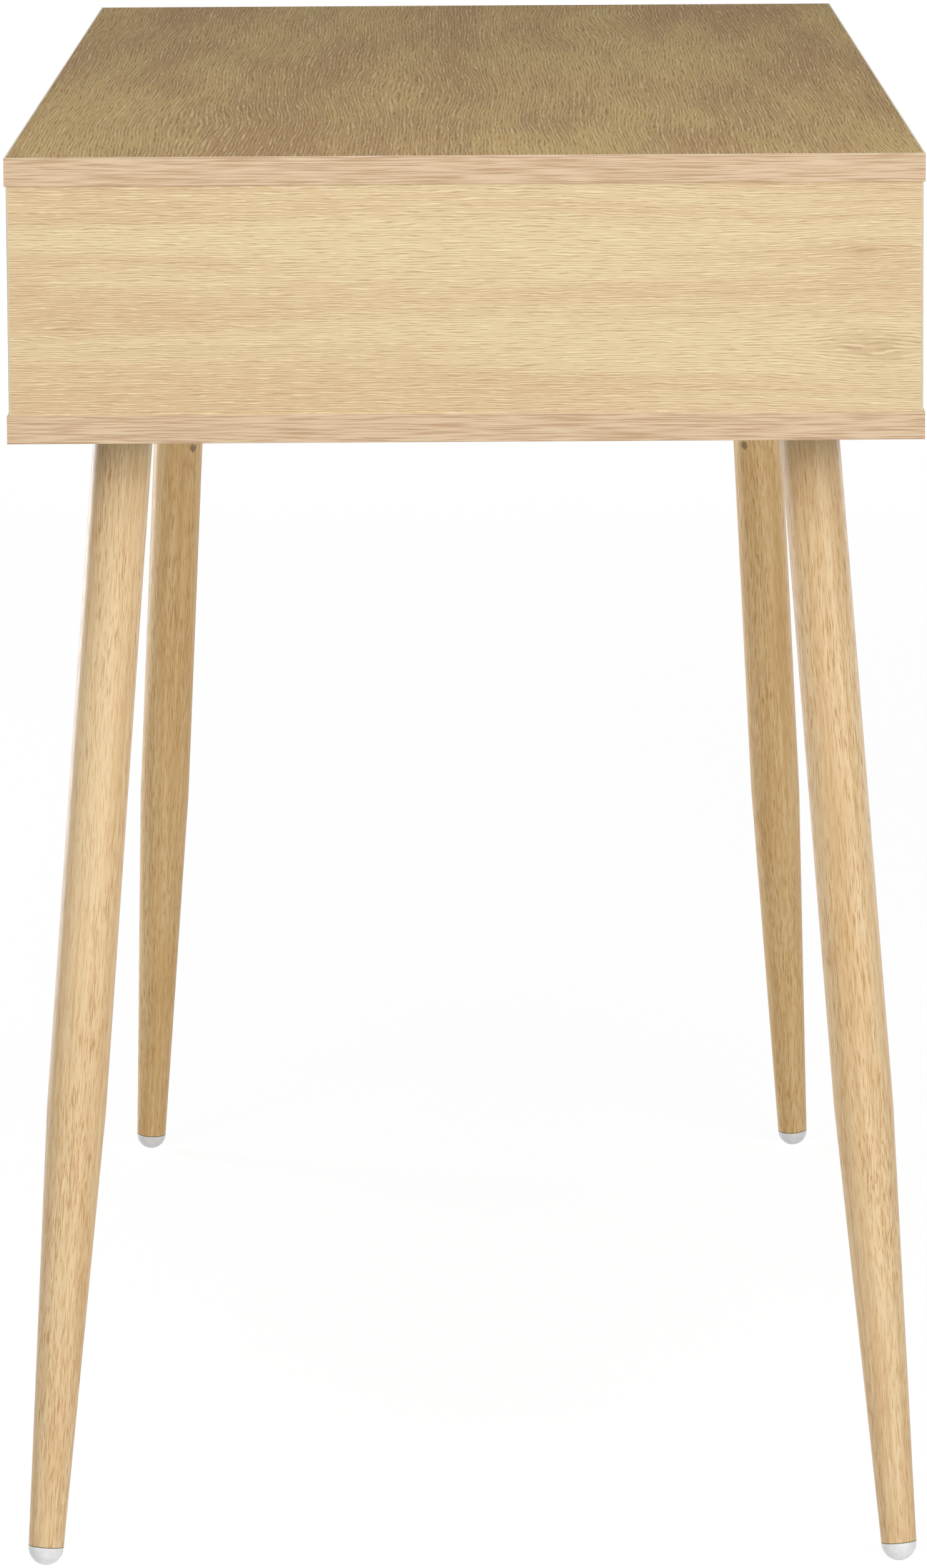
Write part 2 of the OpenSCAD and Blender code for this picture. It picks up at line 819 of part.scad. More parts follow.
module front_roller(bay, hand) {
    at_runner(bay_face(bay, hand), -hand) translate([front_roller_x, front_roller_y, front_axis_z])
        roller(front_roller_d);
}

module left_bay_left_front_roller() {
    front_roller(-1, -1);
}

module left_bay_right_front_roller() {
    front_roller(-1, 1);
}

module right_bay_left_front_roller() {
    front_roller(1, -1);
}

module right_bay_right_front_roller() {
    front_roller(1, 1);
}

module rear_roller(bay, hand) {
    at_runner(bay_face(bay, hand), -hand) translate([rear_roller_x, rear_axis_y, rear_axis_z])
        roller(rear_roller_d);
}

module left_drawer_left_rear_roller() {
    rear_roller(-1, -1);
}

module left_drawer_right_rear_roller() {
    rear_roller(-1, 1);
}

module right_drawer_left_rear_roller() {
    rear_roller(1, -1);
}

module right_drawer_right_rear_roller() {
    rear_roller(1, 1);
}

// ---- Drawers ----

// The finger cut-out, drawn about the middle of a front's top edge
module scoop() {
    flat = scoop_w - 2 * scoop_r;
    translate([-flat / 2, -scoop_r]) square([flat, scoop_r + cut]);
    for (i = [-1, 1])
        translate([i * flat / 2, 0]) circle(scoop_r);
}

module drawer_front(bay) {
    color(oak) difference() {
        translate([bay_mid(bay), box_front, front_high]) rotate([90, 0, 0]) linear_extrude(front_t)
            difference() {
                translate([-front_w / 2, front_low - front_high]) square([front_w, front_high - front_low]);
                scoop();
            }
        base_groove(bay);
        for (hand = [-1, 1], z = corner_zs)
            translate([bay_mid(bay) + hand * (inner_w + box_t) / 2, box_front + cut, z])
                rotate([90, 0, 0])
                    cylinder(d = cam_bolt_d + 2 * fix_fit, h = cam_bolt_thread + fix_fit + cut);
    }
}

// The groove that the drawer bottom slides in, round the front and both sides
module base_groove(bay) {
    translate([bay_mid(bay) - inner_w / 2 - groove, box_front - groove, base_z - base_fit])
        cube([inner_w + 2 * groove, box_l + groove + cut, base_t + 2 * base_fit]);
}

module drawer_side(bay, hand) {
    inner = bay_mid(bay) + hand * inner_w / 2;
    outer = bay_mid(bay) + hand * box_w / 2;
    color(raw) difference() {
        block([min(inner, outer), box_front, box_low], [max(inner, outer), box_back, box_high]);
        base_groove(bay);
        for (z = corner_zs) {
            translate([(inner + outer) / 2, box_front - cut, z]) rotate([-90, 0, 0])
                cylinder(d = cam_bolt_head_d + 4 * fix_fit, h = cam_reach + cam_bolt_head_d / 2 + cut);
            translate([inner - hand * cut, box_front + cam_reach, z]) facing(hand) rotate([0, 90, 0])
                cylinder(d = small_cam_d + 2 * fix_fit, h = small_cam_t + fix_fit + cut);
            translate([outer, box_back - box_t / 2, z]) facing(hand) cs_hole(corner_screw_l);
        }
        at_runner(bay_face(bay, hand), -hand)
            for (y = runner_screw_ys)
                translate([runner_gap - sheet_t, y + bay_shift(bay), drawer_half_screw_z])
                    mirror([1, 0, 0]) cs_hole(cs_l);
    }
}

module drawer_back(bay) {
    mid = bay_mid(bay);
    color(raw) difference() {
        block([mid - inner_w / 2, box_back - box_t, base_z + base_t + base_fit],
            [mid + inner_w / 2, box_back, box_high]);
        for (hand = [-1, 1], z = corner_zs)
            translate([mid + hand * box_w / 2, box_back - box_t / 2, z]) facing(hand)
                cs_hole(corner_screw_l);
        for (x = base_screw_xs)
            base_screw_at(mid + x) cs_hole(cs_l);
    }
}

// Places a screw that points up through the drawer bottom at x
module base_screw_at(x) {
    translate([x, box_back - box_t / 2, base_z]) rotate([0, 90, 0]) children();
}

module drawer_bottom(bay) {
    mid = bay_mid(bay);
    color(raw) difference() {
        block([mid - base_w / 2, box_front - groove + 2 * base_fit, base_z],
            [mid + base_w / 2, box_back, base_z + base_t]);
        for (x = base_screw_xs)
            base_screw_at(mid + x) cs_hole(cs_l);
    }
}

module drawer_runner(bay, hand) {
    at_runner(bay_face(bay, hand), -hand) drawer_half(bay_shift(bay));
}

module drawer_roller_rivets(bay) {
    color(zinc) for (hand = [-1, 1])
        at_runner(bay_face(bay, hand), -hand) translate([runner_gap, rear_axis_y, rear_axis_z])
            mirror([1, 0, 0]) rivet(sheet_t, runner_gap - rear_roller_x - roller_w);
}

// Every fixing that travels with a drawer
module drawer_fixings(bay) {
    mid = bay_mid(bay);
    color(zinc) {
        for (hand = [-1, 1]) {
            for (z = corner_zs) {
                translate([mid + hand * (inner_w + box_t) / 2, box_front + cam_reach, z])
                    rotate([90, 0, 0]) {
                        cam_bolt(cam_reach);
                        facing(-hand) cam_lock(small_cam_d, small_cam_t, box_t / 2);
                    }
                translate([mid + hand * box_w / 2, box_back - box_t / 2, z]) facing(hand)
                    cs_screw(corner_screw_l);
            }
            at_runner(bay_face(bay, hand), -hand)
                for (y = runner_screw_ys)
                    translate([runner_gap - sheet_t, y + bay_shift(bay), drawer_half_screw_z])
                        mirror([1, 0, 0]) cs_screw(cs_l);
        }
        for (x = base_screw_xs)
            base_screw_at(mid + x) cs_screw(cs_l);
    }
}

module left_drawer_front() {
    drawer_front(-1);
}

module left_drawer_left_side() {
    drawer_side(-1, -1);
}

module left_drawer_right_side() {
    drawer_side(-1, 1);
}

module left_drawer_back() {
    drawer_back(-1);
}

module left_drawer_bottom() {
    drawer_bottom(-1);
}

module left_drawer_left_runner() {
    drawer_runner(-1, -1);
}

module left_drawer_right_runner() {
    drawer_runner(-1, 1);
}

module left_drawer_roller_rivets() {
    drawer_roller_rivets(-1);
}

module left_drawer_fixings() {
    drawer_fixings(-1);
}

module right_drawer_front() {
    drawer_front(1);
}

module right_drawer_left_side() {
    drawer_side(1, -1);
}

module right_drawer_right_side() {
    drawer_side(1, 1);
}

module right_drawer_back() {
    drawer_back(1);
}

module right_drawer_bottom() {
    drawer_bottom(1);
}

module right_drawer_left_runner() {
    drawer_runner(1, -1);
}

module right_drawer_right_runner() {
    drawer_runner(1, 1);
}

module right_drawer_roller_rivets() {
    drawer_roller_rivets(1);
}

module right_drawer_fixings() {
    drawer_fixings(1);
}

top_board();
bottom_board();
left_side_panel();
right_side_panel();
centre_divider();
back_panel();
top_edge_bands();
bottom_edge_bands();
panel_edge_bands();
cam_bolts();
cam_locks();
dowels();
case_screws();
front_left_leg();
front_right_leg();
rear_left_leg();
rear_right_leg();
front_left_leg_plate();
front_right_leg_plate();
rear_left_leg_plate();
rear_right_leg_plate();
front_left_foot();
front_right_foot();
rear_left_foot();
rear_right_foot();
leg_plate_screws();
left_bay_left_runner();
left_bay_right_runner();
right_bay_left_runner();
right_bay_right_runner();
case_roller_rivets();
case_runner_screws();
left_drawer_front();
left_drawer_left_side();
left_drawer_right_side();
left_drawer_back();
left_drawer_bottom();
left_drawer_left_runner();
left_drawer_right_runner();
left_drawer_roller_rivets();
left_drawer_fixings();
right_drawer_front();
right_drawer_left_side();
right_drawer_right_side();
right_drawer_back();
right_drawer_bottom();
right_drawer_left_runner();
right_drawer_right_runner();
right_drawer_roller_rivets();
right_drawer_fixings();
left_bay_left_front_roller();
left_bay_right_front_roller();
right_bay_left_front_roller();
right_bay_right_front_roller();
left_drawer_left_rear_roller();
left_drawer_right_rear_roller();
right_drawer_left_rear_roller();
right_drawer_right_rear_roller();
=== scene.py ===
"""Looks of the writing desk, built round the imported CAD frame.

Metres, +Z up, X along the desk, the drawers open towards -Y, the floor is Z = 0.
Every piece that is seen is a CAD node. This script gives each one its material, and adds
the camera, the lamps, the sky and the floor.
"""

import math

import bmesh
import bpy
from mathutils import Matrix, Vector


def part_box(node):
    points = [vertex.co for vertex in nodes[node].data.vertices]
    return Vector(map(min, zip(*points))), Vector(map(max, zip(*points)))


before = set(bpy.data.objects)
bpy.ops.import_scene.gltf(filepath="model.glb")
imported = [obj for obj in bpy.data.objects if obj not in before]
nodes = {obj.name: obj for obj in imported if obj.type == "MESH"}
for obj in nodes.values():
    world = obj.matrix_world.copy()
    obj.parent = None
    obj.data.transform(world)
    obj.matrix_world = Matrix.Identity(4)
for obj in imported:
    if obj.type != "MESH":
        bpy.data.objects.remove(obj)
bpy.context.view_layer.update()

MM = 0.001
X, Y, Z = Vector((1, 0, 0)), Vector((0, 1, 0)), Vector((0, 0, 1))


def srgb(red, green, blue):
    """A colour given on the 0 to 255 display scale, as Blender's linear RGBA."""
    def linear(c):
        c /= 255
        return c / 12.92 if c <= 0.04045 else ((c + 0.055) / 1.055) ** 2.4
    return (linear(red), linear(green), linear(blue), 1)


# ---- Node trees ----

class Nodes:
    """A node tree. Calls add nodes and return their output sockets."""

    def __init__(self, tree):
        self.tree = tree
        tree.nodes.clear()

    def node(self, kind, inputs=(), **settings):
        """Adds a node, sets its properties and fills its inputs from values or sockets."""
        made = self.tree.nodes.new(kind)
        for name, value in settings.items():
            setattr(made, name, value)
        for key, value in dict(inputs).items():
            if isinstance(value, bpy.types.NodeSocket):
                self.tree.links.new(value, made.inputs[key])
            else:
                made.inputs[key].default_value = value
        return made

    def calc(self, operation, a, b=0.0):
        return self.node("ShaderNodeMath", {0: a, 1: b}, operation=operation).outputs[0]

    def plus(self, a, b):
        return self.calc("ADD", a, b)

    def minus(self, a, b):
        return self.calc("SUBTRACT", a, b)

    def times(self, a, b):
        return self.calc("MULTIPLY", a, b)

    def ramp(self, value, low, high, to_low=0.0, to_high=1.0):
        """Value smoothly mapped from low..high to to_low..to_high, and held outside."""
        return self.node("ShaderNodeMapRange", {
            "Value": value, "From Min": low, "From Max": high, "To Min": to_low, "To Max": to_high},
            interpolation_type="SMOOTHSTEP").outputs["Result"]

    def seen(self):
        """1 for what the camera sees, directly, mirrored or through glass, and 0 for other light."""
        path = self.node("ShaderNodeLightPath").outputs
        indirect = self.calc("MAXIMUM", path["Is Glossy Ray"], path["Is Transmission Ray"])
        return self.calc("MAXIMUM", path["Is Camera Ray"], indirect)


class Shader(Nodes):
    """The node tree of a new material. self.place is the shaded point in the desk's frame."""

    def __init__(self, name):
        self.material = bpy.data.materials.new(name)
        self.material.use_nodes = True
        super().__init__(self.material.node_tree)
        self.place = self.node("ShaderNodeTexCoord").outputs["Object"]

    def dot(self, direction):
        """How far along a direction the shaded point is."""
        return self.node("ShaderNodeVectorMath", {0: self.place, 1: tuple(direction)},
                         operation="DOT_PRODUCT").outputs["Value"]

    def distance(self, point):
        """How far from a point the shaded point is."""
        return self.node("ShaderNodeVectorMath", {0: self.place, 1: tuple(point)},
                         operation="DISTANCE").outputs["Value"]

    def facing(self, direction):
        """1 where the surface looks along a direction or against it, 0 where it is square to it."""
        normal = self.node("ShaderNodeTexCoord").outputs["Normal"]
        along = self.node("ShaderNodeVectorMath", {0: normal, 1: tuple(direction)},
                          operation="DOT_PRODUCT").outputs["Value"]
        return self.calc("ABSOLUTE", along)

    def vector(self, x, y, z):
        return self.node("ShaderNodeCombineXYZ", {0: x, 1: y, 2: z}).outputs[0]

    def noise(self, where, detail):
        """Noise from 0 to 1 whose grains are 1 across in the space of where."""
        return self.node("ShaderNodeTexNoise", {
            "Vector": where, "Scale": 1.0, "Detail": detail, "Roughness": 0.5}).outputs["Fac"]

    def grains(self, per_metre, detail):
        """Noise through the whole solid, in round grains."""
        where = self.node("ShaderNodeVectorMath", {0: self.place, "Scale": per_metre},
                          operation="SCALE").outputs[0]
        return self.noise(where, detail)

    def streaks(self, u, v, per_metre, layer, detail):
        """Noise on a surface, with per_metre = (grains along u, grains along v).

        Streaks of another layer are another noise.
        """
        where = self.vector(self.times(u, per_metre[0]), self.times(v, per_metre[1]), layer)
        return self.noise(where, detail)

    def swing(self, noise, width):
        """Noise as a shift to both sides, width in all."""
        return self.times(self.plus(noise, -0.5), width)

    def mix_of(self, *shares):
        """Sum of the values of (share, value) pairs."""
        parts = [self.times(value, share) for share, value in shares]
        total = parts[0]
        for part in parts[1:]:
            total = self.plus(total, part)
        return total

    def blend(self, amount, a, b):
        """Colour a where amount is 0, b where it is 1."""
        return self.node("ShaderNodeMix", {0: amount, 6: a, 7: b}, data_type="RGBA").outputs[2]

    def bump(self, height, depth):
        """A normal raised by height times depth metres."""
        return self.node("ShaderNodeBump", {
            "Height": height, "Distance": depth, "Strength": 1.0}).outputs[0]

    def finish(self, **surface):
        """Ends the material in a Principled surface with these inputs."""
        names = {key.replace("_", " "): value for key, value in surface.items()}
        shader = self.node("ShaderNodeBsdfPrincipled", names)
        self.node("ShaderNodeOutputMaterial", {"Surface": shader.outputs[0]})
        return self.material


# ---- Camera, lamps, sky and floor ----

CAMERA_PLACE = (5.0255, 0.0048, 1.1251)
# Millimetres
CAMERA_LENS, SENSOR_WIDTH = 195.4, 36
FAR_CLIP = 200
# Degrees below level, about the upright, and about the line of sight
PITCH_DOWN, YAW, ROLL = 8.94, 0.093, -0.335

# Strength of the sky as light, and as it is seen
SKY_LIGHT, SKY_SEEN = 0.1, 1

# Half the floor's width, and how far it lies below the feet
FLOOR_REACH, FLOOR_DROP = 60, 0.2 * MM
# The floor as light bounces off it, and the grey that catches the shadow where it is seen
FLOOR_PALE, FLOOR_SHADOW = (0.92, 0.92, 0.92, 1), (0.16, 0.16, 0.16, 1)
# The glow that makes the floor white: its strength near and far, and where it changes
GLOW_NEAR, GLOW_FAR = 0.92, 1.0
GLOW_FROM, GLOW_TO = 1.5, 6

WHITE = (1, 1, 1, 1)


def make_camera():
    """Looks along -X at the desk's right-hand end, from a little above its top."""
    data = bpy.data.cameras.new("camera")
    data.sensor_width = SENSOR_WIDTH
    data.lens = CAMERA_LENS
    data.clip_end = FAR_CLIP
    camera = bpy.data.objects.new("camera", data)
    turn = (Matrix.Rotation(math.pi / 2 + math.radians(YAW), 4, "Z")
            @ Matrix.Rotation(math.pi / 2 - math.radians(PITCH_DOWN), 4, "X")
            @ Matrix.Rotation(math.radians(ROLL), 4, "Z"))
    camera.matrix_world = Matrix.Translation(CAMERA_PLACE) @ turn
    bpy.context.scene.collection.objects.link(camera)
    bpy.context.scene.camera = camera


def soft_light(name, place, aim, size, watts, colour=(1, 1, 1)):
    """A rectangular area light at place, turned to aim, that no camera sees."""
    data = bpy.data.lights.new(name, "AREA")
    data.shape = "RECTANGLE"
    data.size, data.size_y = size
    data.energy = watts
    data.color = colour
    lamp = bpy.data.objects.new(name, data)
    lamp.location = place
    lamp.rotation_euler = (Vector(aim) - Vector(place)).to_track_quat("-Z", "Y").to_euler()
    lamp.visible_camera = False
    bpy.context.scene.collection.objects.link(lamp)


def make_lights():
    """A big key from the right, weaker fill from the left and above, and two lamps behind."""
    soft_light("key", place=(5.5, 3.2, 1.6), aim=(0, 0, 0.5), size=(2.5, 2.0), watts=114)
    soft_light("near_key", place=(3.4, 1.3, 2.3), aim=(0.4, 0, 0.6), size=(1.6, 1.4), watts=15)
    soft_light("left_fill", place=(3.8, -1.6, 2.2), aim=(0, 0, 0.5), size=(2.0, 1.6), watts=35)
    soft_light("overhead", place=(1.5, 0, 2.8), aim=(0.6, 0, 0), size=(2.5, 2.5), watts=24.5)
    soft_light("left_rim", place=(-2.2, -2.6, 0.65), aim=(0.2, -0.1, 0.4), size=(1.2, 1.2),
               watts=63, colour=(0.85, 0.9, 1.0))
    soft_light("right_rim", place=(-2.2, 2.6, 0.65), aim=(0.2, 0.1, 0.4), size=(1.2, 1.2), watts=18)


def make_world():
    """An even grey sky for the light, which the camera and reflections see as white."""
    world = bpy.data.worlds.new("sky")
    bpy.context.scene.world = world
    world.use_nodes = True
    s = Nodes(world.node_tree)
    strength = s.ramp(s.seen(), 0, 1, SKY_LIGHT, SKY_SEEN)
    sky = s.node("ShaderNodeBackground", {"Color": WHITE, "Strength": strength})
    s.node("ShaderNodeOutputWorld", {"Surface": sky.outputs[0]})


def make_floor():
    """A wide pale floor: white to the camera, with the desk's soft shadow on it."""
    mesh = bpy.data.meshes.new("floor")
    shape = bmesh.new()
    bmesh.ops.create_grid(shape, x_segments=4, y_segments=4, size=FLOOR_REACH)
    shape.to_mesh(mesh)
    shape.free()
    floor = bpy.data.objects.new("floor", mesh)
    floor.location = (0, 0, -FLOOR_DROP)
    bpy.context.scene.collection.objects.link(floor)
    s = Shader("floor")
    strength = s.ramp(s.distance((0, 0, 0)), GLOW_FROM, GLOW_TO, GLOW_NEAR, GLOW_FAR)
    glow = s.node("ShaderNodeEmission", {"Color": WHITE, "Strength": strength})
    dull = s.node("ShaderNodeBsdfDiffuse", {"Color": FLOOR_SHADOW})
    shown = s.node("ShaderNodeAddShader", {0: glow.outputs[0], 1: dull.outputs[0]})
    pale = s.node("ShaderNodeBsdfDiffuse", {"Color": FLOOR_PALE})
    mixed = s.node("ShaderNodeMixShader", {0: s.seen(), 1: pale.outputs[0], 2: shown.outputs[0]})
    s.node("ShaderNodeOutputMaterial", {"Surface": mixed.outputs[0]})
    mesh.materials.append(s.material)


# ---- Oak laminate ----

# A print's colours and measures. Pairs are grains per metre, along the grain and across it, and
# lengths are in metres.
#   zone, cloud, line  broad brown zones, smaller clouds, and growth lines
#   bow, drift         the slow wave of the grain, and how wide it swings
#   wave, sway         the quick wave, and how wide it swings
#   stroke, pitch      length of the fine strokes, and distance between two
#   stray, frayed      how far noise takes the strokes off their pitch, and that noise's detail
#   quiet, ink         how strong the strokes are where they are faint, and their colours
#   relief, rough      how deep they are pressed in, and roughness of the raised strokes and of pores
# The pale colour of the raised strokes is partly print and partly a painted highlight of the emboss.
SIDE_PRINT = {
    "ground": srgb(231, 208, 165), "brown": srgb(221, 191, 150),
    "pore": srgb(186, 153, 116), "ridge_highlight": srgb(250, 234, 198),
    "zone": (2, 26), "cloud": (3, 90), "line": (8, 480),
    "bow": (4.5, 9), "drift": 15 * MM, "wave": (20, 120), "sway": 0.35 * MM,
    "stroke": 12 * MM, "pitch": 1.3 * MM, "stray": 13, "frayed": 2.0,
    "quiet": 0.25, "ink": 0.55, "relief": 0.025 * MM, "rough": (0.55, 0.7), "specular": 0.06}
# The top is the same laminate as the ends. Its colours are set darker as painted shade, because the
# top gets less light than the upright faces.
SHADED_TOP_PRINT = {
    "ground": srgb(211, 179, 119), "brown": srgb(184, 148, 100),
    "pore": srgb(150, 117, 76), "ridge_highlight": srgb(230, 207, 155),
    "zone": (1.5, 11), "cloud": (3.5, 30), "line": (8, 260),
    "bow": (4.5, 14), "drift": 8 * MM, "wave": (80, 480), "sway": 0.9 * MM,
    "stroke": 42 * MM, "pitch": 2.0 * MM, "stray": 15, "frayed": 3.0,
    "quiet": 0.15, "ink": 0.6, "relief": 0.12 * MM, "rough": (0.55, 0.7), "specular": 0.06}
DOWEL_PRINT = dict(SIDE_PRINT, ground=srgb(222, 190, 146), brown=srgb(196, 160, 114),
                   pore=srgb(160, 122, 82))

# How far each seed moves a print along the grain and across it, and a leg's film along it. What is
# added to a seed elsewhere keeps the noises of one material apart.
SEED_ALONG, SEED_ACROSS, FILM_SEED_ALONG = 3.7, 1.3, 2.3


def knot_at(point, length, height, darkness, bow):
    """A knot in a print. bow is how far the grain gives way round it."""
    return {"point": Vector(point), "length": length, "height": height,
            "darkness": darkness, "bow": bow}


def grain_space(s, along, across, seed):
    """(u, v): metres along the grain, and across it round the board's edges."""
    through = Vector([1 - abs(a) - abs(b) for a, b in zip(along, across)])
    u = s.dot(along)
    v = s.plus(s.dot(across), s.dot(through))
    return s.plus(u, seed * SEED_ALONG), s.plus(v, seed * SEED_ACROSS)


def wavy(s, u, v, seed, look):
    """v, shifted so that the lines wander in slow and quick waves."""
    slow = s.streaks(u, v, look["bow"], seed, 0.0)
    quick = s.streaks(u, v, look["wave"], seed + 5, 1.0)
    bent = s.plus(v, s.swing(slow, look["drift"]))
    return s.plus(bent, s.swing(quick, look["sway"]))


def round_knots(s, v, along, across, knots):
    """v bowed round the knots, and 0 to 1 for how much they darken each point."""
    shade = 0.0
    for knot in knots:
        off_along = s.plus(s.dot(along), -knot["point"].dot(along))
        off_across = s.plus(s.dot(across), -knot["point"].dot(across))
        du, dv = s.times(off_along, 1 / knot["length"]), s.times(off_across, 1 / knot["height"])
        near = s.calc("DIVIDE", 1.0, s.plus(1.0, s.plus(s.times(du, du), s.times(dv, dv))))
        v = s.plus(v, s.times(s.times(near, off_across), -knot["bow"]))
        shade = s.plus(shade, s.times(s.ramp(near, 0.35, 0.95), knot["darkness"]))
    return v, shade


def fine_strokes(s, u, v, seed, look):
    """1 in the middle of a pore, -1 on a raised stroke, and near 0 where the strokes are faint."""
    per_length, per_pitch = 1 / look["stroke"], 1 / look["pitch"]
    stray = s.streaks(u, v, (per_length / 2, per_pitch / 2), seed + 21, look["frayed"])
    phase = s.plus(s.times(v, 2 * math.pi * per_pitch), s.times(stray, look["stray"]))
    gate = s.streaks(u, v, (per_length, per_pitch), seed + 27, 1.0)
    return s.times(s.calc("SINE", phase), s.ramp(gate, 0.4, 0.6, look["quiet"], 1.0))


def oak_laminate(name, along, across, seed, look, knots=()):
    """Printed and embossed oak laminate in one of the prints, its grain along a direction."""
    s = Shader(name)
    u, v = grain_space(s, along, across, seed)
    v, shade = round_knots(s, wavy(s, u, v, seed, look), along, across, knots)
    zones = s.streaks(u, v, look["zone"], seed + 9, 2.0)
    clouds = s.streaks(u, v, look["cloud"], seed + 14, 2.0)
    lines = s.streaks(u, v, look["line"], seed + 18, 0.0)
    tone = s.mix_of((0.58, zones), (0.28, clouds), (0.14, lines))
    colour = s.blend(s.ramp(tone, 0.4, 0.6), look["ground"], look["brown"])
    if knots:
        colour = s.blend(shade, colour, look["pore"])
    # Dark printed pores pressed in beside raised strokes, whose pale colour is partly print and
    # partly a painted highlight
    stroke = fine_strokes(s, u, v, seed, look)
    pores, ridge_highlights = s.ramp(stroke, 0.1, 0.9), s.ramp(stroke, -0.1, -0.9)
    colour = s.blend(s.times(ridge_highlights, look["ink"]), colour, look["ridge_highlight"])
    colour = s.blend(s.times(pores, look["ink"]), colour, look["pore"])
    return s.finish(Base_Color=colour, Roughness=s.ramp(stroke, -1, 1, *look["rough"]),
                    Normal=s.bump(s.minus(ridge_highlights, pores), look["relief"]),
                    Specular_IOR_Level=look["specular"])


# ---- Edge bands ----

# Keys as in the oak prints, and three sizes of streaks
BAND_PRINT = {
    "dark": srgb(195, 161, 127), "pale": srgb(225, 199, 165),
    "wave": (9, 40), "sway": 2 * MM,
    "streak": (30, 1150), "broad": (8, 260), "fine": (60, 2100),
    "relief": 0.03 * MM, "rough": (0.42, 0.52), "specular": 0.3}
# Colour of the cut edges on the long boards and on the panels. The long boards' colour is partly the
# bands' pale core and partly a painted highlight along the arris.
BOARD_CUT_AND_HIGHLIGHT, PANEL_CUT = srgb(236, 226, 206), srgb(216, 204, 174)


def band_space(s, cut, seed):
    """(u, v): metres along a band and across it."""
    if cut != Z:
        return grain_space(s, Z, cut, seed)
    # These bands run along X on the desk's front and back, and along Y on its ends. Through a
    # band's thickness u counts five times, so that the cut shows a quicker print.
    front, end = X + 5 * Y, 5 * X + Y
    on_end = s.ramp(s.facing(X), 0.4, 0.6)
    return s.plus(s.dot(front), s.times(on_end, s.dot(end - front))), s.dot(Z)


def edge_band_print(name, seed, cut, cut_colour):
    """Smooth printed edge band: long parallel pinkish streaks, pale where it is cut.

    cut is the direction that the band's cut edges face, in cut_colour. Bands cut above and below
    lie level, and the others stand.
    """
    look = BAND_PRINT
    s = Shader(name)
    u, v = band_space(s, cut, seed)
    v = s.plus(v, s.swing(s.streaks(u, v, look["wave"], seed, 1.0), look["sway"]))
    streak = s.streaks(u, v, look["streak"], seed + 4, 1.0)
    broad = s.streaks(u, v, look["broad"], seed + 8, 1.0)
    fine = s.streaks(u, v, look["fine"], seed + 12, 1.0)
    tone = s.mix_of((0.6, streak), (0.15, broad), (0.25, fine))
    colour = s.blend(s.ramp(tone, 0.38, 0.58), look["dark"], look["pale"])
    # The cut edges take the cut colour. On the long boards this colour is partly a painted highlight
    # along the arris.
    colour = s.blend(s.ramp(s.facing(cut), 0.75, 0.95), colour, cut_colour)
    return s.finish(Base_Color=colour, Roughness=s.ramp(streak, 0.3, 0.7, *look["rough"]),
                    Normal=s.bump(tone, look["relief"]), Specular_IOR_Level=look["specular"])


# ---- Leg film ----

# Keys as in the oak prints. broad and fine make the ground, and patch is where dashes are strong.
FILM_PRINT = {
    "bright": srgb(250, 226, 182), "dark": srgb(188, 142, 88),
    "knot": srgb(122, 104, 88), "cut": srgb(92, 100, 72),
    "wave": (5, 25), "sway": 4 * MM,
    "broad": (4, 60), "fine": (7, 420), "dash": (95, 2000), "patch": (9, 70), "fray": (300, 500),
    "relief": 0.02 * MM, "rough": (0.36, 0.46), "specular": 0.2}
# Pale and brown ground of the film, by the end of the desk that the leg is at. The left legs' pair
# is deeper and warmer as painted shade, because those legs stand farther from the lamps, under and
# behind the case.
FILM_GROUND_AND_SHADE = {"right": (srgb(241, 212, 167), srgb(226, 190, 141)),
               "left": (srgb(240, 207, 153), srgb(224, 184, 125))}

# The knots of the left legs: height, and place beside the leg's axis along X, and along Y by row
KNOT_UP, KNOT_X = 478.5 * MM, 12.5 * MM
KNOT_Y = {"front": 10 * MM, "rear": -9 * MM}
# A knot is whole at the first distance from its middle and gone at the second, and its rim frays
KNOT_CORE, KNOT_RIM, KNOT_FRAY = 1.6 * MM, 3.6 * MM, 4 * MM
# The cut shows up to the first distance from the tube's end, and is gone at the second
CUT_WIDTH, CUT_FADE = 0.3 * MM, 0.8 * MM


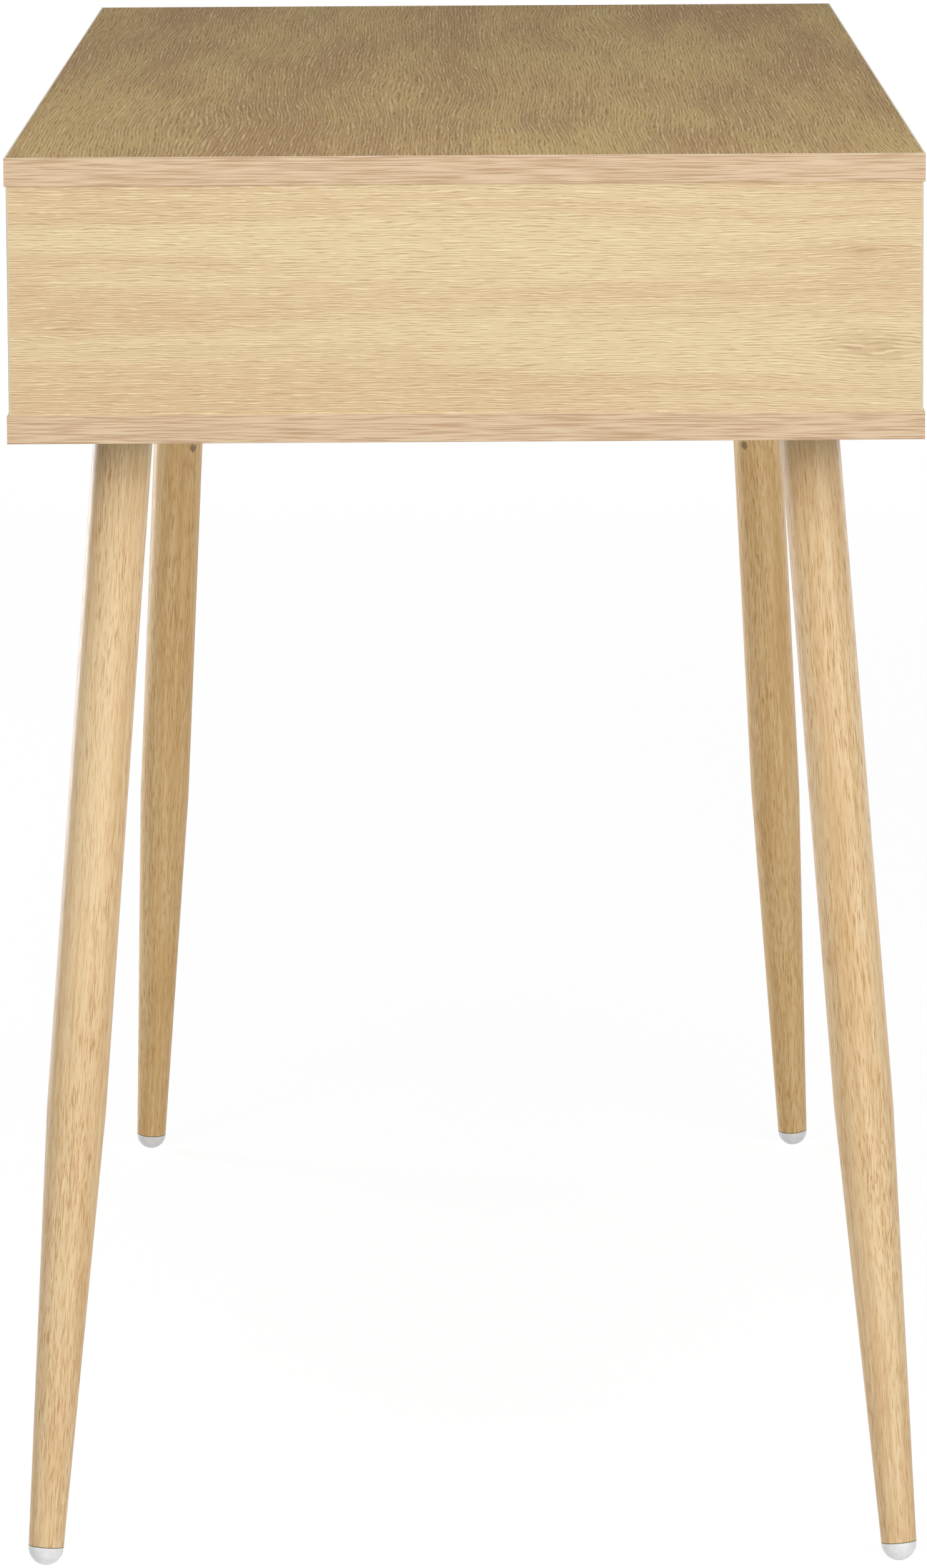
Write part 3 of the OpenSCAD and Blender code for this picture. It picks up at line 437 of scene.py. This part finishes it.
def leg_film(name, axis, tube_end, seed, ground, knot=None):
    """Wood-grain film wrapped on a steel tube: fine dashes along the tube.

    ground is the pale and the brown of the film; the left legs' deeper pair is painted shade.
    tube_end is how far along the axis the tube starts, where it shows a dark cut.
    knot is the middle of a small grey-brown mark, or None.
    """
    look = FILM_PRINT
    s = Shader(name)
    side = axis.cross(Y).normalized()
    other = axis.cross(side).normalized()
    reach = s.dot(axis)
    u = s.plus(reach, seed * FILM_SEED_ALONG)
    p, q = s.dot(side), s.dot(other)

    def stretched(per_metre, layer, detail=1.0):
        """Noise all round the leg, with per_metre = (grains along it, grains across it)."""
        along, across = per_metre
        return s.noise(s.vector(s.times(u, along), s.times(p, across),
                                s.plus(s.times(q, across), layer)), detail)

    drift = s.swing(stretched(look["wave"], seed), look["sway"])
    p, q = s.plus(p, drift), s.plus(q, drift)
    tone = s.mix_of((0.4, stretched(look["broad"], seed + 3, 2.0)),
                    (0.6, stretched(look["fine"], seed + 5, 2.0)))
    colour = s.blend(s.ramp(tone, 0.36, 0.64), *ground)
    dash = stretched(look["dash"], seed + 7)
    patch = s.ramp(stretched(look["patch"], seed + 11, 2.0), 0.38, 0.62, 0.45, 0.9)
    dark = s.times(s.ramp(dash, 0.55, 0.62), patch)
    bright = s.times(s.ramp(dash, 0.46, 0.36), patch)
    colour = s.blend(s.times(bright, 0.35), colour, look["bright"])
    colour = s.blend(s.times(dark, 0.8), colour, look["dark"])
    if knot is not None:
        away = s.plus(s.distance(knot), s.swing(stretched(look["fray"], seed + 15), KNOT_FRAY))
        colour = s.blend(s.ramp(away, KNOT_RIM, KNOT_CORE, 0, 0.75), colour, look["knot"])
    cut = s.ramp(s.plus(reach, -tube_end), CUT_WIDTH, CUT_FADE, 0.8, 0)
    colour = s.blend(cut, colour, look["cut"])
    return s.finish(Base_Color=colour, Roughness=s.ramp(dash, 0.3, 0.7, *look["rough"]),
                    Normal=s.bump(s.minus(bright, dark), look["relief"]),
                    Specular_IOR_Level=look["specular"])


# ---- Plain finishes ----

PLAIN_SPECULAR = 0.5
# Grains per metre of the plastic's mottle and grit, and of the metal's patches and skin
MOTTLE, GRIT, PATCHES, SKIN = 260, 4200, 70, 1500
GRIT_RELIEF = 0.01 * MM


def moulded_plastic(name, colour, shade, roughness):
    """White moulded plastic with a faint flow mottle."""
    s = Shader(name)
    cloud, grit = s.grains(MOTTLE, 3.0), s.grains(GRIT, 2.0)
    rough = s.ramp(grit, 0.3, 0.7, roughness - 0.06, roughness + 0.06)
    return s.finish(Base_Color=s.blend(s.ramp(cloud, 0.35, 0.7), colour, shade), Roughness=rough,
                    Normal=s.bump(grit, GRIT_RELIEF), Specular_IOR_Level=PLAIN_SPECULAR)


def coated_metal(name, colour, shade, roughness, metallic, peel):
    """Powder-coated or plated metal: an orange-peel skin, peel deep, with worn and dull spots."""
    s = Shader(name)
    patches, skin = s.grains(PATCHES, 3.0), s.grains(SKIN, 2.0)
    worn = s.mix_of((0.5, patches), (0.5, skin))
    rough = s.ramp(worn, 0.3, 0.7, roughness - 0.08, roughness + 0.1)
    return s.finish(Base_Color=s.blend(s.ramp(patches, 0.4, 0.68), colour, shade), Roughness=rough,
                    Normal=s.bump(skin, peel), Metallic=metallic, Specular_IOR_Level=PLAIN_SPECULAR)


# ---- Materials of the desk ----

# Small knots of the top, and broad faint ones that mostly bow its grain: how far each lies in
# from the right-hand end and from the rear edge
TOP_FLECKS = ((0.18, 0.135), (0.54, 0.24), (0.73, 0.335), (0.75, 0.13), (0.89, 0.14))
TOP_EYES = ((0.2, 0.385), (0.5, 0.28), (0.92, 0.16))


def assign(material, *names):
    for name in names:
        slots = nodes[name].data.materials
        slots.clear()
        slots.append(material)


def top_knots():
    end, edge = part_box("top_board")[1].xy
    flecks = [knot_at((end - inset, edge - across, 0), 13 * MM, 3 * MM, darkness=0.5, bow=0.6)
              for inset, across in TOP_FLECKS]
    eyes = [knot_at((end - inset, edge - across, 0), 110 * MM, 26 * MM, darkness=0.1, bow=0.4)
            for inset, across in TOP_EYES]
    return flecks + eyes


def side_knots():
    """The right-hand end's own knots: one at its lower rear corner and two small ones."""
    low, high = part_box("right_side_panel")
    corner = high.x, high.y - 27 * MM, low.z + 33 * MM
    above = high.x, high.y - 30 * MM, low.z + 84 * MM
    front = high.x, low.y + 29 * MM, low.z + 45 * MM
    return [knot_at(corner, 30 * MM, 11 * MM, darkness=0.35, bow=0.6),
            knot_at(above, 10 * MM, 4 * MM, darkness=0.2, bow=0.6),
            knot_at(front, 8 * MM, 4 * MM, darkness=0.2, bow=0.6)]


def dress_case():
    assign(oak_laminate("oak_top", X, Y, 1, SHADED_TOP_PRINT, top_knots()), "top_board")
    assign(oak_laminate("oak_base", X, Y, 2, SIDE_PRINT), "bottom_board")
    assign(oak_laminate("oak_right_end", Y, Z, 3, SIDE_PRINT, side_knots()), "right_side_panel")
    assign(oak_laminate("oak_left_end", Y, Z, 4, SIDE_PRINT), "left_side_panel")
    assign(oak_laminate("oak_divider", Y, Z, 5, SIDE_PRINT), "centre_divider")
    assign(oak_laminate("oak_back", X, Z, 6, SIDE_PRINT), "back_panel")


def dress_drawers():
    for seed, side in ((7, "left"), (8, "right")):
        assign(oak_laminate(f"oak_{side}_front", X, Z, seed, SIDE_PRINT), f"{side}_drawer_front")
        for number, part in enumerate(("left_side", "right_side", "back")):
            along = X if part == "back" else Y
            board = f"{side}_drawer_{part}"
            assign(oak_laminate(f"oak_{board}", along, Z, seed * 3 + number, SIDE_PRINT), board)
        board = f"{side}_drawer_bottom"
        assign(oak_laminate(f"oak_{board}", Y, X, seed + 20, SIDE_PRINT), board)


def dress_bands():
    level = edge_band_print("band_long_boards", 1, Z, BOARD_CUT_AND_HIGHLIGHT)
    assign(level, "top_edge_bands", "bottom_edge_bands")
    assign(edge_band_print("band_panels", 2, X, PANEL_CUT), "panel_edge_bands")


def dress_legs():
    plastic = moulded_plastic("foot_plastic", srgb(247, 247, 248), srgb(238, 239, 240), 0.3)
    steel = coated_metal("black_plate", srgb(38, 38, 40), srgb(52, 52, 54), 0.5, 0.0, 0.06 * MM)
    legs = [(row, side) for row in ("front", "rear") for side in ("left", "right")]
    for seed, (row, side) in enumerate(legs, start=1):
        leg = f"{row}_{side}"
        foot = min((v.co for v in nodes[f"{leg}_foot"].data.vertices), key=lambda p: p.z)
        low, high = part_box(f"{leg}_leg_plate")
        axis = ((low + high) / 2 - foot).normalized()
        tube_end = min(v.co.dot(axis) for v in nodes[f"{leg}_leg"].data.vertices)
        knot = None
        if side == "left":
            knot = foot + axis * (KNOT_UP - foot.z) / axis.z + X * KNOT_X + Y * KNOT_Y[row]
        film = leg_film(f"film_{leg}", axis, tube_end, seed, FILM_GROUND_AND_SHADE[side], knot)
        assign(film, f"{leg}_leg")
        assign(plastic, f"{leg}_foot")
        assign(steel, f"{leg}_leg_plate")


def dress_fittings():
    cream = coated_metal("runner_coat", srgb(236, 233, 224), srgb(224, 220, 208), 0.36, 0.0,
                         0.03 * MM)
    zinc = coated_metal("zinc", srgb(196, 198, 202), srgb(168, 172, 178), 0.32, 1.0, 0.02 * MM)
    nylon = moulded_plastic("nylon", srgb(238, 237, 230), srgb(226, 224, 214), 0.38)
    for name in nodes:
        if name.endswith("_runner"):
            assign(cream, name)
        elif name.endswith("_roller"):
            assign(nylon, name)
        elif name.endswith(("_rivets", "_screws", "_fixings", "cam_bolts", "cam_locks")):
            assign(zinc, name)
    assign(oak_laminate("dowel_wood", Z, Y, 30, DOWEL_PRINT), "dowels")


make_camera()
make_lights()
make_world()
make_floor()
dress_case()
dress_drawers()
dress_bands()
dress_legs()
dress_fittings()
bpy.context.scene.view_settings.view_transform = "Standard"
